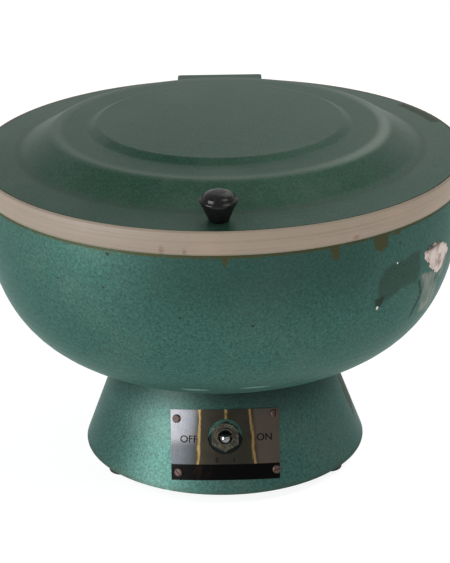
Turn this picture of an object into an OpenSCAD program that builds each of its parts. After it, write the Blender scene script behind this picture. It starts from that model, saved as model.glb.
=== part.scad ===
// Bench butterfat centrifuge: a conical pedestal with the motor inside, a deep
// spun bowl on top, a rotor with sloping tube sleeves and a stepped, hinged lid.
// Millimetres. The origin is on the rotor's axis, at the pedestal's lower rim.
// +Z is up, the switch panel faces -Y, and the lid's hinge is at +Y.

/* [Pedestal] */
// Outer radius of the pedestal's lower rim
pedestal_foot_r = 128.8; // [124:0.2:136]
// Outer radius of the pedestal's top, under the bowl
pedestal_top_r = 95.1; // [93:0.1:100]
// Height of the pedestal, from its lower rim to the bowl's seat
pedestal_h = 89.5; // [89:0.5:104]
// Wall of the pedestal casting
pedestal_wall = 3.2; // [2.6:0.1:4]
// Thickness of the ring inside the pedestal's top
pedestal_flange_t = 4; // [3:0.5:5]
// Thickness of the base plate
base_plate_t = 2; // [1.5:0.5:3]
// Radius of the hole in the middle of the base plate
base_bore_r = 14; // [10:0.5:18]
// Radius of the cooling holes in the base plate
vent_r = 4; // [3:0.5:5]

/* [Feet] */
// Height of a rubber foot
foot_h = 12; // [10:0.5:16]
// Radius of a rubber foot
foot_r = 12.5; // [11:0.5:13]
// Distance of a foot's middle in from the pedestal's lower rim
foot_inset = 19.8; // [18:0.1:24]

/* [Bowl] */
// Outer radius of the bowl under its rim band
bowl_rim_r = 214; // [208:0.5:222]
// Height of the bowl, from its seat to the rim band
bowl_depth = 169.3; // [166:0.5:180]
// Wall of the bowl
bowl_wall = 3; // [2.5:0.1:3.5]
// Height of the rubber rim band
band_h = 20; // [17:0.5:24]
// How far the band stands out beyond the bowl
band_proud = 1; // [0.8:0.1:2]

/* [Lid] */
// Thickness of the lid
lid_t = 2; // [1.5:0.1:2.5]
// Width of the flange outside the outer step
lid_flange_w = 35.4; // [34:0.1:40]
// Width of the outer step's slope
lid_step_w = 28; // [24:0.5:34]
// Height of the outer step
lid_step_h = 17.3; // [14:0.1:22]
// Width of the ring between the two steps
lid_ring_w = 32; // [26:0.5:38]
// Width of the inner step's slope
lid_inner_step_w = 8; // [7:0.5:14]
// Height of the inner step
lid_inner_step_h = 4.4; // [3:0.1:6]
// Height of the crown of the middle disc
lid_crown = 1.6; // [0.5:0.1:4]

/* [Knob] */
// Distance of the knob's middle from the lid's edge
knob_inset = 20.3; // [18:0.1:24]
// Largest radius of the knob
knob_r = 15.7; // [13:0.1:17]
// Radius of the knob's base
knob_base_r = 8.2; // [7:0.1:9]
// Height of the knob
knob_h = 24.5; // [20:0.5:28]

/* [Hinge] */
// Width of the lid's hinge tongue
tongue_w = 82.5; // [76:0.5:96]
// Thickness of the hinge tongue
tongue_t = 2; // [1.5:0.1:2.2]
// Radius of the hinge pin
hinge_pin_r = 2.5; // [2:0.1:2.8]
// Radius of the hinge knuckles
knuckle_r = 4.1; // [4:0.1:4.4]
// Length of one hinge knuckle
knuckle_l = 14; // [11:0.5:15]
// Height of the hinge bracket on the bowl
bracket_h = 33; // [30:0.5:40]

/* [Switch panel] */
// Width of the nameplate
plate_w = 95.6; // [88:0.2:100]
// Height of the nameplate, along the cone
plate_h = 62; // [58:0.5:64]
// Thickness of the nameplate
plate_t = 0.8; // [0.6:0.1:1.2]
// Distance of the nameplate's middle from the pedestal's rim, along the cone
plate_at = 44.2; // [43:0.1:46]
// Distance of the switch from the pedestal's rim, along the cone
switch_at = 51.4; // [50:0.1:53]
// Radius of the round window in the nameplate
plate_window_r = 15.4; // [14.5:0.1:17]
// Radius of a nameplate screw's head
plate_screw_r = 3.75; // [3:0.05:4]
// Width of the switch nut, across its flats
switch_nut_af = 23.5; // [21:0.1:24]
// Radius of the switch's threaded neck
switch_neck_r = 8; // [7.5:0.1:8.5]
// Radius of the toggle's ball end
toggle_ball_r = 4.35; // [4:0.05:5]
// Reach of the toggle's ball in front of the panel
toggle_reach = 21; // [18:0.5:26]

/* [Rotor] */
// Number of tube sleeves, which the sleeve nodes below follow
sleeve_count = 8; // [8:1:8]
// Slope of the sleeves below the horizontal
sleeve_slope = 30; // [28:0.5:31]
// Length of a sleeve
sleeve_len = 130; // [124:0.5:134]
// Bore radius of a sleeve
sleeve_bore_r = 13.5; // [12:0.1:14]
// Wall of a sleeve
sleeve_wall = 1.5; // [1:0.1:2]
// Gap from the middle of a sleeve's closed end to the bowl's rim
sleeve_gap = 28; // [26:0.5:31]
// Thickness of the rubber pad in a sleeve
pad_t = 4; // [3:0.5:6]
// Height of the carrier disc's edge above the bowl's seat
carrier_up = 66.3; // [64:0.1:68]
// Thickness of the carrier disc
carrier_t = 2; // [1.5:0.1:2.5]
// Gap from the carrier disc's edge to the bowl's rim
carrier_gap = 36; // [34:0.5:40]

/* [Motor] */
// Outer radius of the motor's shell
motor_r = 50; // [48:0.5:52]
// Wall of the motor's shell
motor_wall = 3.5; // [3:0.1:4]
// Height of the motor's end cap above the pedestal's rim
motor_floor_z = 20; // [19:0.5:22]
// Thickness of the motor's mounting flange
motor_flange_t = 6; // [5:0.5:7]
// Radius of the motor shaft in its bearings
shaft_r = 7.5; // [7:0.1:8]
// Outer radius of a ball bearing
bearing_r = 17.5; // [16:0.5:18]
// Height of a ball bearing
bearing_h = 11; // [9:0.5:12]
// Bore radius of the cable gland
gland_bore_r = 3.6; // [3:0.1:4.2]

/* [Hidden] */

$fn = 96;
over = 1;           // how far a cutter runs past what it cuts
slip = 0.05;        // radial clearance of a turning fit
loose = 0.3;        // gap between seated pieces
drill = 0.4;        // radial clearance of a screw in its hole

// Colours of the finishes
enamel = [0.16, 0.33, 0.28];
stainless = [0.72, 0.73, 0.74];
plated = [0.60, 0.60, 0.58];
black = [0.07, 0.07, 0.07];
cream = [0.67, 0.61, 0.56];
copper = [0.66, 0.38, 0.22];
iron = [0.34, 0.34, 0.35];
rust = [0.36, 0.22, 0.13];

// Pedestal cone
cone_slope = atan((pedestal_foot_r - pedestal_top_r) / pedestal_h);
function cone_r(z) = pedestal_foot_r - z * tan(cone_slope);
pedestal_flange_r = 62;
base_plate_gap = 0.6;
base_plate_r = cone_r(base_plate_t) - pedestal_wall / cos(cone_slope) - base_plate_gap;
base_boss_r = 6;
base_boss_h = 18;
base_boss_at = base_plate_r - base_boss_r - 3;
base_screw_r = 2.5;
base_screw_l = 14;
base_screw_angles = [0, 120, 240];
foot_pcr = pedestal_foot_r - foot_inset;
foot_angles = [-60, 60, 180];
foot_screw_r = 2.5;
foot_recess_r = 6;
vent_count = 10;
vent_pcr = 36;

// Bowl outline, from the rim band down to the seat
seat_margin = 2.6;
bowl_seat_r = pedestal_top_r - seat_margin;
bowl_rim_z = pedestal_h + bowl_depth;
bowl_curve = [[bowl_rim_r, bowl_rim_z],
    [bowl_rim_r - 1.6, bowl_rim_z - 0.553 * bowl_depth],
    [bowl_rim_r - 0.167 * (bowl_rim_r - bowl_seat_r), pedestal_h + 0.112 * bowl_depth],
    [bowl_seat_r, pedestal_h]];
bowl_steps = 22;
lip_in = 3;
lip_r = bowl_rim_r - lip_in;
joggle_h = 2;
band_top_z = bowl_rim_z + band_h;
band_cap_t = 1.6;
band_bulge = 0.6;

// Lid heights, from the lid's edge inwards
lid_edge_gap = 0.9;
lid_rebate_r = bowl_rim_r - 1.7;
lid_edge_r = lid_rebate_r - lid_edge_gap;
lid_foot_r = lid_edge_r - lid_flange_w;
lid_shoulder_r = lid_foot_r - lid_step_w;
lid_inner_foot_r = lid_shoulder_r - lid_ring_w;
lid_inner_top_r = lid_inner_foot_r - lid_inner_step_w;
lid_edge_z = band_top_z;
band_seat_z = lid_edge_z - lid_t - loose;
lip_top_z = band_seat_z - band_cap_t;
lid_flange_rise = 3.1;
lid_ring_rise = 0.9;
lid_foot_z = lid_edge_z + lid_flange_rise;
lid_shoulder_z = lid_foot_z + lid_step_h;
lid_inner_foot_z = lid_shoulder_z + lid_ring_rise;
lid_inner_top_z = lid_inner_foot_z + lid_inner_step_h;
flange_slope = atan(lid_flange_rise / (lid_edge_r - lid_foot_r));
knob_at_r = lid_edge_r - knob_inset;
knob_angle = -0.7;
knob_z = lid_edge_z + knob_inset * tan(flange_slope);

// Hinge at the rear
hinge_y = bowl_rim_r + 12;
tongue_end_y = hinge_y + 2;
tongue_top_z = lid_edge_z - 0.1;
tongue_low_z = tongue_top_z - tongue_t;
hinge_z = tongue_low_z - knuckle_r - 0.5;
tab_t = 2.5;
tab_low_z = tongue_low_z - tab_t;
tab_in = 16;
notch_w = tongue_w + 3;
notch_z = tab_low_z - 2.5;
knuckle_gap = 0.5;
knuckle_count = 5;
bracket_t = 3.8;
bracket_w = knuckle_count * knuckle_l;
bracket_top_z = hinge_z - 1;
bracket_low_z = bowl_rim_z - bracket_h;
bracket_in_r = bowl_rim_r + band_proud + loose;
bracket_out_r = bracket_in_r + bracket_t;
hinge_bolt_r = 2.5;
hinge_bolt_angle = 6.5;
hinge_bolt_end = 8;
hinge_bolt_zs = [bracket_low_z + hinge_bolt_end, bowl_rim_z - hinge_bolt_end - 1];
hinge_bolt_hole_l = 20;

// Switch panel
plate_lift = 0.1;
plate_screw_side = 5.4;
plate_screw_end = 6.6;
// The four screw places, upper pair first: side, end, and how far each hand-drilled hole strays
plate_screws = [[-1, 1, 0.6, -1.5], [1, 1, 0.4, 1.8], [-1, -1, 1.5, 0.1], [1, -1, 1.7, 1.3]];
plate_screw_shank_r = 1.5;
plate_screw_head_h = 1.9;
neck_in = 4.4;
neck_out = 5.2;
neck_mouth_r = 6.3;
switch_nut_h = 3.2;
toggle_pivot = -1.5;
toggle_neck_r = 2.3;
toggle_pin_r = 1.5;
toggle_pivot_r = 3.8;
switch_box = [22, 26, 27];

// Rotor
sleeve_r = sleeve_bore_r + sleeve_wall;
sleeve_floor = 2.5;
sleeve_lip = 1.5;
sleeve_lift = 1;
rotor_turn = 7;     // how far the first sleeve has turned past its even place at rest
sleeve_end_r = bowl_rim_r - sleeve_gap;
carrier_r = bowl_rim_r - carrier_gap;
carrier_flat_r = 46;
carrier_z = pedestal_h + carrier_up + (carrier_r - carrier_flat_r) * tan(sleeve_slope);
carrier_rim_h = 8;
// The sleeves' axes run above the carrier's cone, at this height over it
axis_over_cone = (sleeve_r + sleeve_lift) / cos(sleeve_slope);
sleeve_end_z = carrier_z + axis_over_cone - (sleeve_end_r - carrier_flat_r) * tan(sleeve_slope);
hub_up = 52.5;
hub_bottom_z = pedestal_h + hub_up;
hub_skirt_drop = 12;
hub_skirt_h = 4;
hub_neck_up = 10;
hub_r = 20;
hub_skirt_r = 28;
hub_flange_r = 43;
hub_flange_t = 5;
collar_top_z = hub_bottom_z - 3;
collar_foot_h = 14;
collar_in_r = 12.5;
collar_out_r = 20;
collar_seat_r = 33;
floor_hole_r = 25;
spindle_r = shaft_r + 2;
stud_r = 6;
stud_l = 19;
washer_t = 3;
nut_r = 15;
nut_h = 19;

// Motor
flange_under_z = pedestal_h - pedestal_flange_t;
motor_flange_r = pedestal_top_r - 9.5;
motor_flange_z = flange_under_z - motor_flange_t;
motor_bolt_r = 3;
motor_bolt_pcr = motor_flange_r - 9.5;
motor_bolt_count = 6;
motor_cap_t = 3;
bearing_boss_r = bearing_r + 6;
bearing_boss_h = 9.5;
upper_bearing_z = motor_flange_z - bearing_boss_h + 2;
lower_bearing_z = motor_floor_z + motor_cap_t;
end_cap_t = 4;
tie_rod_r = 2;
tie_rod_at = motor_r + 3.5;
stator_z = lower_bearing_z + bearing_h + 4;
stator_top_z = motor_flange_z - bearing_boss_h - 1;
stator_bore_r = 27;
air_gap = 0.6;
gland_at = 24;
gland_r = 7;

// Curve tools: a cubic curve by its four points, and a polyline with round corners
function bezier(p, t) = pow(1 - t, 3) * p[0] + 3 * pow(1 - t, 2) * t * p[1]
    + 3 * (1 - t) * t * t * p[2] + pow(t, 3) * p[3];
function bezier_way(p, t) = pow(1 - t, 2) * (p[1] - p[0]) + 2 * (1 - t) * t * (p[2] - p[1])
    + t * t * (p[3] - p[2]);
function unit(v) = v / norm(v);
function inside(p, t, d) = let (w = unit(bezier_way(p, t))) bezier(p, t) + d * [w[1], -w[0]];
function flat(p) = [p[0], p[1]];
function corner(a, b, c, r, n) = let (
    u = unit(a - b),
    w = unit(c - b),
    half = acos(u * w) / 2,
    middle = b + unit(u + w) * r / sin(half),
    start = b + u * r / tan(half) - middle,
    end = b + w * r / tan(half) - middle)
    [for (k = [0:n]) middle + r * unit(start * (1 - k / n) + end * (k / n))];
function rounded(path, n) = [for (i = [0:len(path) - 1]) each
    (i == 0 || i == len(path) - 1 || path[i][2] == 0) ? [flat(path[i])]
    : corner(flat(path[i - 1]), flat(path[i]), flat(path[i + 1]), path[i][2], n)];

// Shared pieces
module turned(points) { rotate_extrude($fn = 144) polygon(points); }
module around(angles, r) {
    for (a = angles) rotate([0, 0, a]) translate([0, -r, 0]) children();
}
module every(count, r, start) {
    around([for (i = [0:count - 1]) start + i * 360 / count], r) children();
}
module hex(af, h) { cylinder(r = af / 2 / cos(30), h = h, $fn = 6); }
module on_cone(along) {
    z = along * cos(cone_slope);
    translate([0, -cone_r(z), z]) rotate([90 - cone_slope, 0, 0]) children();
}
module round_head(r, h) {
    turned([for (p = rounded([[0, h, 0], [r * 0.8, h, r * 0.15], [r, h * 0.35, 0]], 5)) p,
        [r, 0], [0, 0]]);
}
module slotted_head(r, h) {
    slot_w = r * 0.3;
    difference() {
        round_head(r, h);
        translate([-r, -slot_w / 2, h * 0.5]) cube([2 * r, slot_w, h]);
    }
}

// Pedestal and what is fixed to it
module pedestal() color(enamel) {
    inner_foot = cone_r(0) - pedestal_wall / cos(cone_slope);
    inner_top = cone_r(flange_under_z) - pedestal_wall / cos(cone_slope);
    difference() {
        union() {
            turned([[cone_r(0), 0], [cone_r(pedestal_h), pedestal_h],
                [pedestal_flange_r, pedestal_h], [pedestal_flange_r, flange_under_z],
                [inner_top, flange_under_z], [inner_foot, 0]]);
            around(base_screw_angles, base_boss_at) translate([0, 0, base_plate_t])
                cylinder(r = base_boss_r, h = base_boss_h);
            around(base_screw_angles, base_boss_at + base_boss_r) base_boss_web();
        }
        around(base_screw_angles, base_boss_at) translate([0, 0, base_plate_t - over])
            cylinder(r = base_screw_r, h = base_screw_l + over);
        every(motor_bolt_count, motor_bolt_pcr, 30) translate([0, 0, flange_under_z - over])
            cylinder(r = motor_bolt_r + drill, h = pedestal_flange_t + 2 * over);
        on_cone(switch_at) translate([0, 0, -2 * pedestal_wall])
            cylinder(r = switch_neck_r + drill, h = 3 * pedestal_wall);
        rotate([0, 0, 180]) on_cone(gland_at) translate([0, 0, -2 * pedestal_wall])
            cylinder(r = gland_r + drill, h = 3 * pedestal_wall);
        for (s = plate_screws) plate_screw_place(s) translate([0, 0, -2 * pedestal_wall])
            cylinder(r = plate_screw_shank_r, h = 3 * pedestal_wall);
    }
}
// A web that ties a base boss to the cone wall, inside its outer face
module base_boss_web() {
    web_w = 5;
    top = base_plate_t + base_boss_h;
    translate([-web_w / 2, -(cone_r(top) - base_boss_at - base_boss_r - 1), base_plate_t])
        cube([web_w, cone_r(top) - base_boss_at - 1, base_boss_h]);
}
module base_plate() color(iron) difference() {
    cylinder(r = base_plate_r, h = base_plate_t);
    translate([0, 0, -over]) cylinder(r = base_bore_r, h = base_plate_t + 2 * over);
    around(base_screw_angles, base_boss_at) translate([0, 0, -over])
        cylinder(r = base_screw_r + drill, h = base_plate_t + 2 * over);
    around(foot_angles, foot_pcr) translate([0, 0, -over])
        cylinder(r = foot_screw_r + drill, h = base_plate_t + 2 * over);
    every(vent_count, vent_pcr, 18) translate([0, 0, -over])
        cylinder(r = vent_r, h = base_plate_t + 2 * over);
}
module base_plate_screws() color(plated) around(base_screw_angles, base_boss_at) {
    head_r = 4.6;
    head_h = 2.4;
    rotate([180, 0, 0]) slotted_head(head_r, head_h);
    cylinder(r = base_screw_r - slip, h = base_screw_l - 1);
}
module foot(angle) color(black) around([angle], foot_pcr) {
    recess_h = foot_h * 0.55;
    difference() {
        rotate([180, 0, 0]) turned(concat([[0, 0]],
            rounded([[foot_r, 0, 0], [foot_r - 0.8, foot_h, 1.5], [0, foot_h, 0]], 5)));
        translate([0, 0, -foot_h - over]) cylinder(r = foot_recess_r, h = recess_h + over);
        translate([0, 0, -foot_h - over])
            cylinder(r = foot_screw_r + drill, h = foot_h + 2 * over);
    }
}
module foot_screws() color(plated) around(foot_angles, foot_pcr) {
    head_z = -foot_h * 0.45;
    head_h = 2.6;
    nut_af = 8;
    nut_t = 4;
    translate([0, 0, head_z]) rotate([180, 0, 0]) slotted_head(4.6, head_h);
    translate([0, 0, head_z]) cylinder(r = foot_screw_r, h = base_plate_t + nut_t + 1.5 - head_z);
    translate([0, 0, base_plate_t]) hex(nut_af, nut_t);
}

// Bowl, rim band and collar
module bowl() color(enamel) difference() {
    turned(concat(
        [[lip_r - bowl_wall, lip_top_z], [lip_r, lip_top_z], [lip_r, bowl_rim_z + joggle_h]],
        [for (i = [0:bowl_steps]) bezier(bowl_curve, i / bowl_steps)],
        [[floor_hole_r, pedestal_h], [floor_hole_r, pedestal_h + bowl_wall]],
        [for (i = [bowl_steps:-1:0]) inside(bowl_curve, i / bowl_steps, bowl_wall)],
        [[lip_r - bowl_wall, bowl_rim_z + joggle_h]]));
    hinge_notch();
    every(motor_bolt_count, motor_bolt_pcr, 30) translate([0, 0, pedestal_h - over])
        cylinder(r = motor_bolt_r + drill, h = bowl_wall + 2 * over);
    hinge_bolt_places() translate([0, 0, -hinge_bolt_hole_l])
        cylinder(r = hinge_bolt_r + drill, h = hinge_bolt_hole_l);
}
// The gap in the rim, through which the lid's hinge tab swings
module hinge_notch() {
    translate([-notch_w / 2, bowl_rim_r * 0.8, notch_z])
        cube([notch_w, bowl_rim_r * 0.3, band_top_z - notch_z + over]);
}
module bowl_bolts() color(plated) every(motor_bolt_count, motor_bolt_pcr, 30) {
    head_af = 10;
    head_t = 4;
    nut_t = 5;
    grip = bowl_wall + pedestal_flange_t + motor_flange_t;
    translate([0, 0, pedestal_h + bowl_wall]) hex(head_af, head_t);
    translate([0, 0, motor_flange_z - nut_t - 1]) cylinder(r = motor_bolt_r, h = grip + nut_t + 1);
    translate([0, 0, motor_flange_z - nut_t]) hex(head_af, nut_t);
}
module rim_band() color(cream) {
    low_z = bowl_rim_z + 0.2;
    edge_r = bowl_rim_r + band_proud - band_bulge;
    steps = 8;
    shoulder = 1.2;
    inner_leg_r = lip_r - bowl_wall - 2.2;
    inner_leg_h = 8;
    difference() {
        turned(concat(
            [[lip_r + slip, bowl_rim_z + joggle_h + 0.2], [bowl_rim_r + 0.1, low_z]],
            [for (i = [0:steps]) [edge_r + band_bulge * sin(180 * i / steps),
                low_z + (band_h - shoulder - 0.2) * i / steps]],
            [[edge_r - shoulder, band_top_z], [lid_rebate_r, band_top_z],
                [lid_rebate_r, band_seat_z], [inner_leg_r, band_seat_z],
                [inner_leg_r, lip_top_z - inner_leg_h],
                [lip_r - bowl_wall - slip, lip_top_z - inner_leg_h],
                [lip_r - bowl_wall - slip, lip_top_z + slip], [lip_r + slip, lip_top_z + slip]]));
        hinge_notch();
    }
}
module shaft_collar() color(black) {
    flange_t = 3;
    turned([[collar_in_r, pedestal_h], [floor_hole_r - slip, pedestal_h],
        [floor_hole_r - slip, pedestal_h + bowl_wall], [collar_seat_r, pedestal_h + bowl_wall],
        [collar_seat_r, pedestal_h + bowl_wall + flange_t - 1],
        [collar_out_r + 5, pedestal_h + bowl_wall + flange_t],
        [collar_out_r, pedestal_h + collar_foot_h], [collar_out_r, collar_top_z],
        [collar_in_r, collar_top_z]]);
}

// Motor
module motor_flange() color(iron) difference() {
    union() {
        translate([0, 0, motor_flange_z]) cylinder(r = motor_flange_r, h = motor_flange_t);
        translate([0, 0, motor_flange_z - bearing_boss_h])
            cylinder(r = bearing_boss_r, h = bearing_boss_h + over);
    }
    translate([0, 0, motor_flange_z - bearing_boss_h - over])
        cylinder(r = bearing_r + 0.02, h = upper_bearing_z + bearing_h - motor_flange_z
            + bearing_boss_h + over);
    translate([0, 0, motor_flange_z]) cylinder(r = shaft_r + 3.5, h = motor_flange_t + over);
    every(motor_bolt_count, motor_bolt_pcr, 30) translate([0, 0, motor_flange_z - over])
        cylinder(r = motor_bolt_r + drill, h = motor_flange_t + 2 * over);
    every(4, tie_rod_at, 45) translate([0, 0, motor_flange_z - over])
        cylinder(r = tie_rod_r + slip, h = motor_flange_t * 0.7 + over);
}
module motor_shell() color(iron) difference() {
    shell_z = motor_floor_z + end_cap_t;
    translate([0, 0, shell_z]) cylinder(r = motor_r, h = motor_flange_z - shell_z);
    translate([0, 0, shell_z - over])
        cylinder(r = motor_r - motor_wall, h = motor_flange_z - shell_z + 2 * over);
}
module motor_end_cap() color(iron) difference() {
    union() {
        translate([0, 0, motor_floor_z]) cylinder(r = motor_r, h = end_cap_t);
        translate([0, 0, motor_floor_z])
            cylinder(r = bearing_boss_r, h = motor_cap_t + bearing_h + 1.5);
        every(4, tie_rod_at, 45) translate([0, 0, motor_floor_z])
            cylinder(r = tie_rod_r + 3, h = end_cap_t);
    }
    translate([0, 0, lower_bearing_z]) cylinder(r = bearing_r + 0.02, h = bearing_h + 1.5 + over);
    every(4, tie_rod_at, 45) translate([0, 0, motor_floor_z - over])
        cylinder(r = tie_rod_r + slip, h = end_cap_t + 2 * over);
}
module motor_tie_rods() color(plated) every(4, tie_rod_at, 45) {
    nut_af = 7;
    nut_t = 3.2;
    reach = motor_flange_t * 0.7;
    translate([0, 0, motor_floor_z - nut_t - 1])
        cylinder(r = tie_rod_r, h = motor_flange_z - motor_floor_z + nut_t + 1 + reach - 0.2);
    translate([0, 0, motor_floor_z - nut_t]) hex(nut_af, nut_t);
}
module bearing(z) color(plated) translate([0, 0, z]) {
    groove_r = 1.2;
    race_r = (bearing_r + shaft_r) / 2;
    difference() {
        cylinder(r = bearing_r, h = bearing_h);
        translate([0, 0, -over]) cylinder(r = shaft_r + slip, h = bearing_h + 2 * over);
        for (end = [0, bearing_h]) translate([0, 0, end]) rotate_extrude()
            translate([race_r, 0]) circle(r = groove_r);
    }
}
module stator_core() color(iron) difference() {
    translate([0, 0, stator_z])
        cylinder(r = motor_r - motor_wall - slip, h = stator_top_z - stator_z);
    translate([0, 0, stator_z - over])
        cylinder(r = stator_bore_r, h = stator_top_z - stator_z + 2 * over);
}
module stator_windings() color(copper) {
    winding_h = 6;
    for (z = [stator_z - winding_h, stator_top_z]) difference() {
        translate([0, 0, z]) cylinder(r = motor_r - motor_wall - 5, h = winding_h);
        translate([0, 0, z - over])
            cylinder(r = bearing_boss_r + 3.5, h = winding_h + 2 * over);
    }
}
module terminal_block() color(cream) {
    block_w = 40;
    block_d = 16;
    block_h = 14;
    way_r = 2.2;
    ways = 3;
    rotate([0, 0, -38]) translate([-block_w / 2, base_plate_r * 0.62, base_plate_t])
        difference() {
            cube([block_w, block_d, block_h]);
            for (i = [0:ways - 1])
                translate([block_w * (i + 0.5) / ways, -over, block_h * 0.4]) rotate([-90, 0, 0])
                    cylinder(r = way_r, h = block_d + 2 * over);
        }
}
module cable_gland() color(black) rotate([0, 0, 180]) on_cone(gland_at) difference() {
    inner_l = 13;
    head_h = 4;
    nose_h = 12;
    union() {
        translate([0, 0, -inner_l]) cylinder(r = gland_r, h = inner_l + loose + over);
        translate([0, 0, loose + 0.2]) hex(2 * gland_r + 5, head_h);
        translate([0, 0, loose + head_h]) cylinder(r1 = gland_r, r2 = gland_r - 1.2,
            h = nose_h - head_h);
    }
    translate([0, 0, -inner_l - over]) cylinder(r = gland_bore_r, h = inner_l + nose_h + 3 * over);
}
module gland_nut() color(black) rotate([0, 0, 180]) on_cone(gland_at) {
    nut_t = 4.5;
    nut_z = -pedestal_wall - 1 - nut_t;
    difference() {
        translate([0, 0, nut_z]) hex(2 * gland_r + 5, nut_t);
        translate([0, 0, nut_z - over]) cylinder(r = gland_r + slip, h = nut_t + 2 * over);
    }
}

// Switch panel
module plate_screw_place(s) {
    x = s[0] * (plate_w / 2 - plate_screw_side) + s[2];
    along = plate_at + s[1] * (plate_h / 2 - plate_screw_end) + s[3];
    turn = asin(x / cone_r(along * cos(cone_slope)));
    drop = (1 - cos(turn)) * cone_r(along * cos(cone_slope)) * sin(cone_slope);
    rotate([0, 0, turn]) on_cone(along - drop) children();
}
module nameplate() color(stainless) {
    out = plate_lift + plate_t;
    low = -2;
    high = pedestal_h - 4;
    rise = [cos(cone_slope), sin(cone_slope)];
    difference() {
        intersection() {
            turned([[cone_r(low), low] + plate_lift * rise, [cone_r(low), low] + out * rise,
                [cone_r(high), high] + out * rise, [cone_r(high), high] + plate_lift * rise]);
            on_cone(plate_at) translate([-plate_w / 2, -plate_h / 2, -pedestal_foot_r / 3])
                cube([plate_w, plate_h, pedestal_foot_r / 2]);
        }
        on_cone(switch_at) translate([0, 0, -pedestal_wall])
            cylinder(r = plate_window_r, h = 4 * pedestal_wall);
        for (s = plate_screws) plate_screw_place(s) translate([0, 0, -pedestal_wall])
            cylinder(r = plate_screw_shank_r + 0.2, h = 3 * pedestal_wall);
    }
}
module nameplate_screws() color(rust) {
    shank_l = 6;
    seat = plate_lift + plate_t + 0.1;
    turns = [20, 75, -35, 10];
    for (i = [0:3]) plate_screw_place(plate_screws[i]) {
        translate([0, 0, seat]) rotate([0, 0, turns[i]])
            slotted_head(plate_screw_r, plate_screw_head_h);
        translate([0, 0, seat - shank_l]) cylinder(r = plate_screw_shank_r - slip, h = shank_l + 0.5);
    }
}
module switch_body() color(black) on_cone(switch_at) {
    lug = [3, 6, 8];
    difference() {
        union() {
            translate([-switch_box[0] / 2, -switch_box[1] / 2, -neck_in - switch_box[2]])
                cube(switch_box);
            for (side = [-1, 0, 1])
                translate([-lug[0] / 2, side * 8 - lug[1] / 2, -neck_in - switch_box[2] - lug[2]])
                    cube(lug + [0, 0, over]);
        }
        translate([0, 0, -neck_in - 8]) cylinder(r = neck_mouth_r, h = 8 + over);
    }
}
module switch_neck() color(plated) on_cone(switch_at) {
    // The cross pin that the toggle rocks on
    translate([-switch_neck_r + 1, 0, toggle_pivot]) rotate([0, 90, 0])
        cylinder(r = toggle_pin_r, h = 2 * switch_neck_r - 2);
    turned([[neck_mouth_r - 0.6, -neck_in], [switch_neck_r, -neck_in],
        [switch_neck_r, neck_out - 0.6], [switch_neck_r - 0.6, neck_out],
        [neck_mouth_r, neck_out]]);
}
module switch_nut() color(plated) on_cone(switch_at) difference() {
    chamfer = 1.2;
    nut_z = loose;
    intersection() {
        translate([0, 0, nut_z]) rotate([0, 0, 90]) hex(switch_nut_af, switch_nut_h);
        turned([[0, nut_z], [switch_nut_af, nut_z], [switch_nut_af / 2 + chamfer,
            nut_z + switch_nut_h - chamfer], [switch_nut_af / 2, nut_z + switch_nut_h],
            [0, nut_z + switch_nut_h]]);
    }
    translate([0, 0, nut_z - over]) cylinder(r = switch_neck_r + slip, h = switch_nut_h + 2 * over);
}
module toggle_lever() color(stainless) on_cone(switch_at) difference() {
    ball_z = toggle_reach - toggle_ball_r;
    union() {
        translate([0, 0, ball_z]) sphere(r = toggle_ball_r);
        turned([[0, toggle_pivot - 6], [toggle_neck_r - 0.6, toggle_pivot - 6],
            [toggle_neck_r, toggle_pivot], [toggle_neck_r, neck_out],
            [toggle_neck_r + 0.7, ball_z], [0, ball_z]]);
        translate([0, 0, toggle_pivot]) sphere(r = toggle_pivot_r);
    }
    translate([-switch_neck_r, 0, toggle_pivot]) rotate([0, 90, 0])
        cylinder(r = toggle_pin_r + slip, h = 2 * switch_neck_r);
}

// Hinge
module hinge_bolt_places() {
    for (a = [-hinge_bolt_angle, hinge_bolt_angle], z = hinge_bolt_zs)
        rotate([0, 0, 180 + a]) translate([0, -bracket_out_r, z]) rotate([90, 0, 0]) children();
}
module knuckle_band(index, r) {
    translate([-bracket_w / 2 + index * knuckle_l + knuckle_gap / 2, hinge_y, hinge_z])
        rotate([0, 90, 0]) cylinder(r = r, h = knuckle_l - knuckle_gap);
}
module hinge_bracket() color(enamel) difference() {
    curve_end = 0.3;
    steps = 8;
    fold = [for (i = [0:steps]) inside(bowl_curve, curve_end * i / steps, -0.2)];
    union() {
        intersection() {
            turned(concat([[bracket_in_r, bowl_rim_z], [bracket_in_r, bracket_top_z],
                [bracket_out_r, bracket_top_z], [bracket_out_r, bezier(bowl_curve, curve_end)[1]]],
                [for (i = [steps:-1:0]) fold[i]]));
            translate([-bracket_w / 2, 0, bracket_low_z])
                cube([bracket_w, hinge_y, bracket_top_z - bracket_low_z]);
        }
        for (i = [0:2:knuckle_count - 1]) {
            knuckle_band(i, knuckle_r);
            translate([-bracket_w / 2 + i * knuckle_l + knuckle_gap / 2, bracket_in_r + 0.6,
                hinge_z - knuckle_r])
                cube([knuckle_l - knuckle_gap, hinge_y - bracket_in_r - 0.6, knuckle_r - 1]);
        }
    }
    translate([-bracket_w, hinge_y, hinge_z]) rotate([0, 90, 0])
        cylinder(r = hinge_pin_r + 0.02, h = 2 * bracket_w);
    hinge_bolt_places() translate([0, 0, -hinge_bolt_hole_l])
        cylinder(r = hinge_bolt_r + drill, h = hinge_bolt_hole_l + over);
}
module hinge_bolts() color(plated) hinge_bolt_places() {
    head_af = 8;
    head_t = 3.5;
    nut_t = 4;
    grip = bracket_t + band_proud + bowl_wall + 1.6;
    hex(head_af, head_t);
    translate([0, 0, -grip - nut_t - 1]) cylinder(r = hinge_bolt_r, h = grip + nut_t + 1 + 0.5);
    translate([0, 0, -grip - nut_t]) hex(head_af, nut_t);
}
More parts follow.
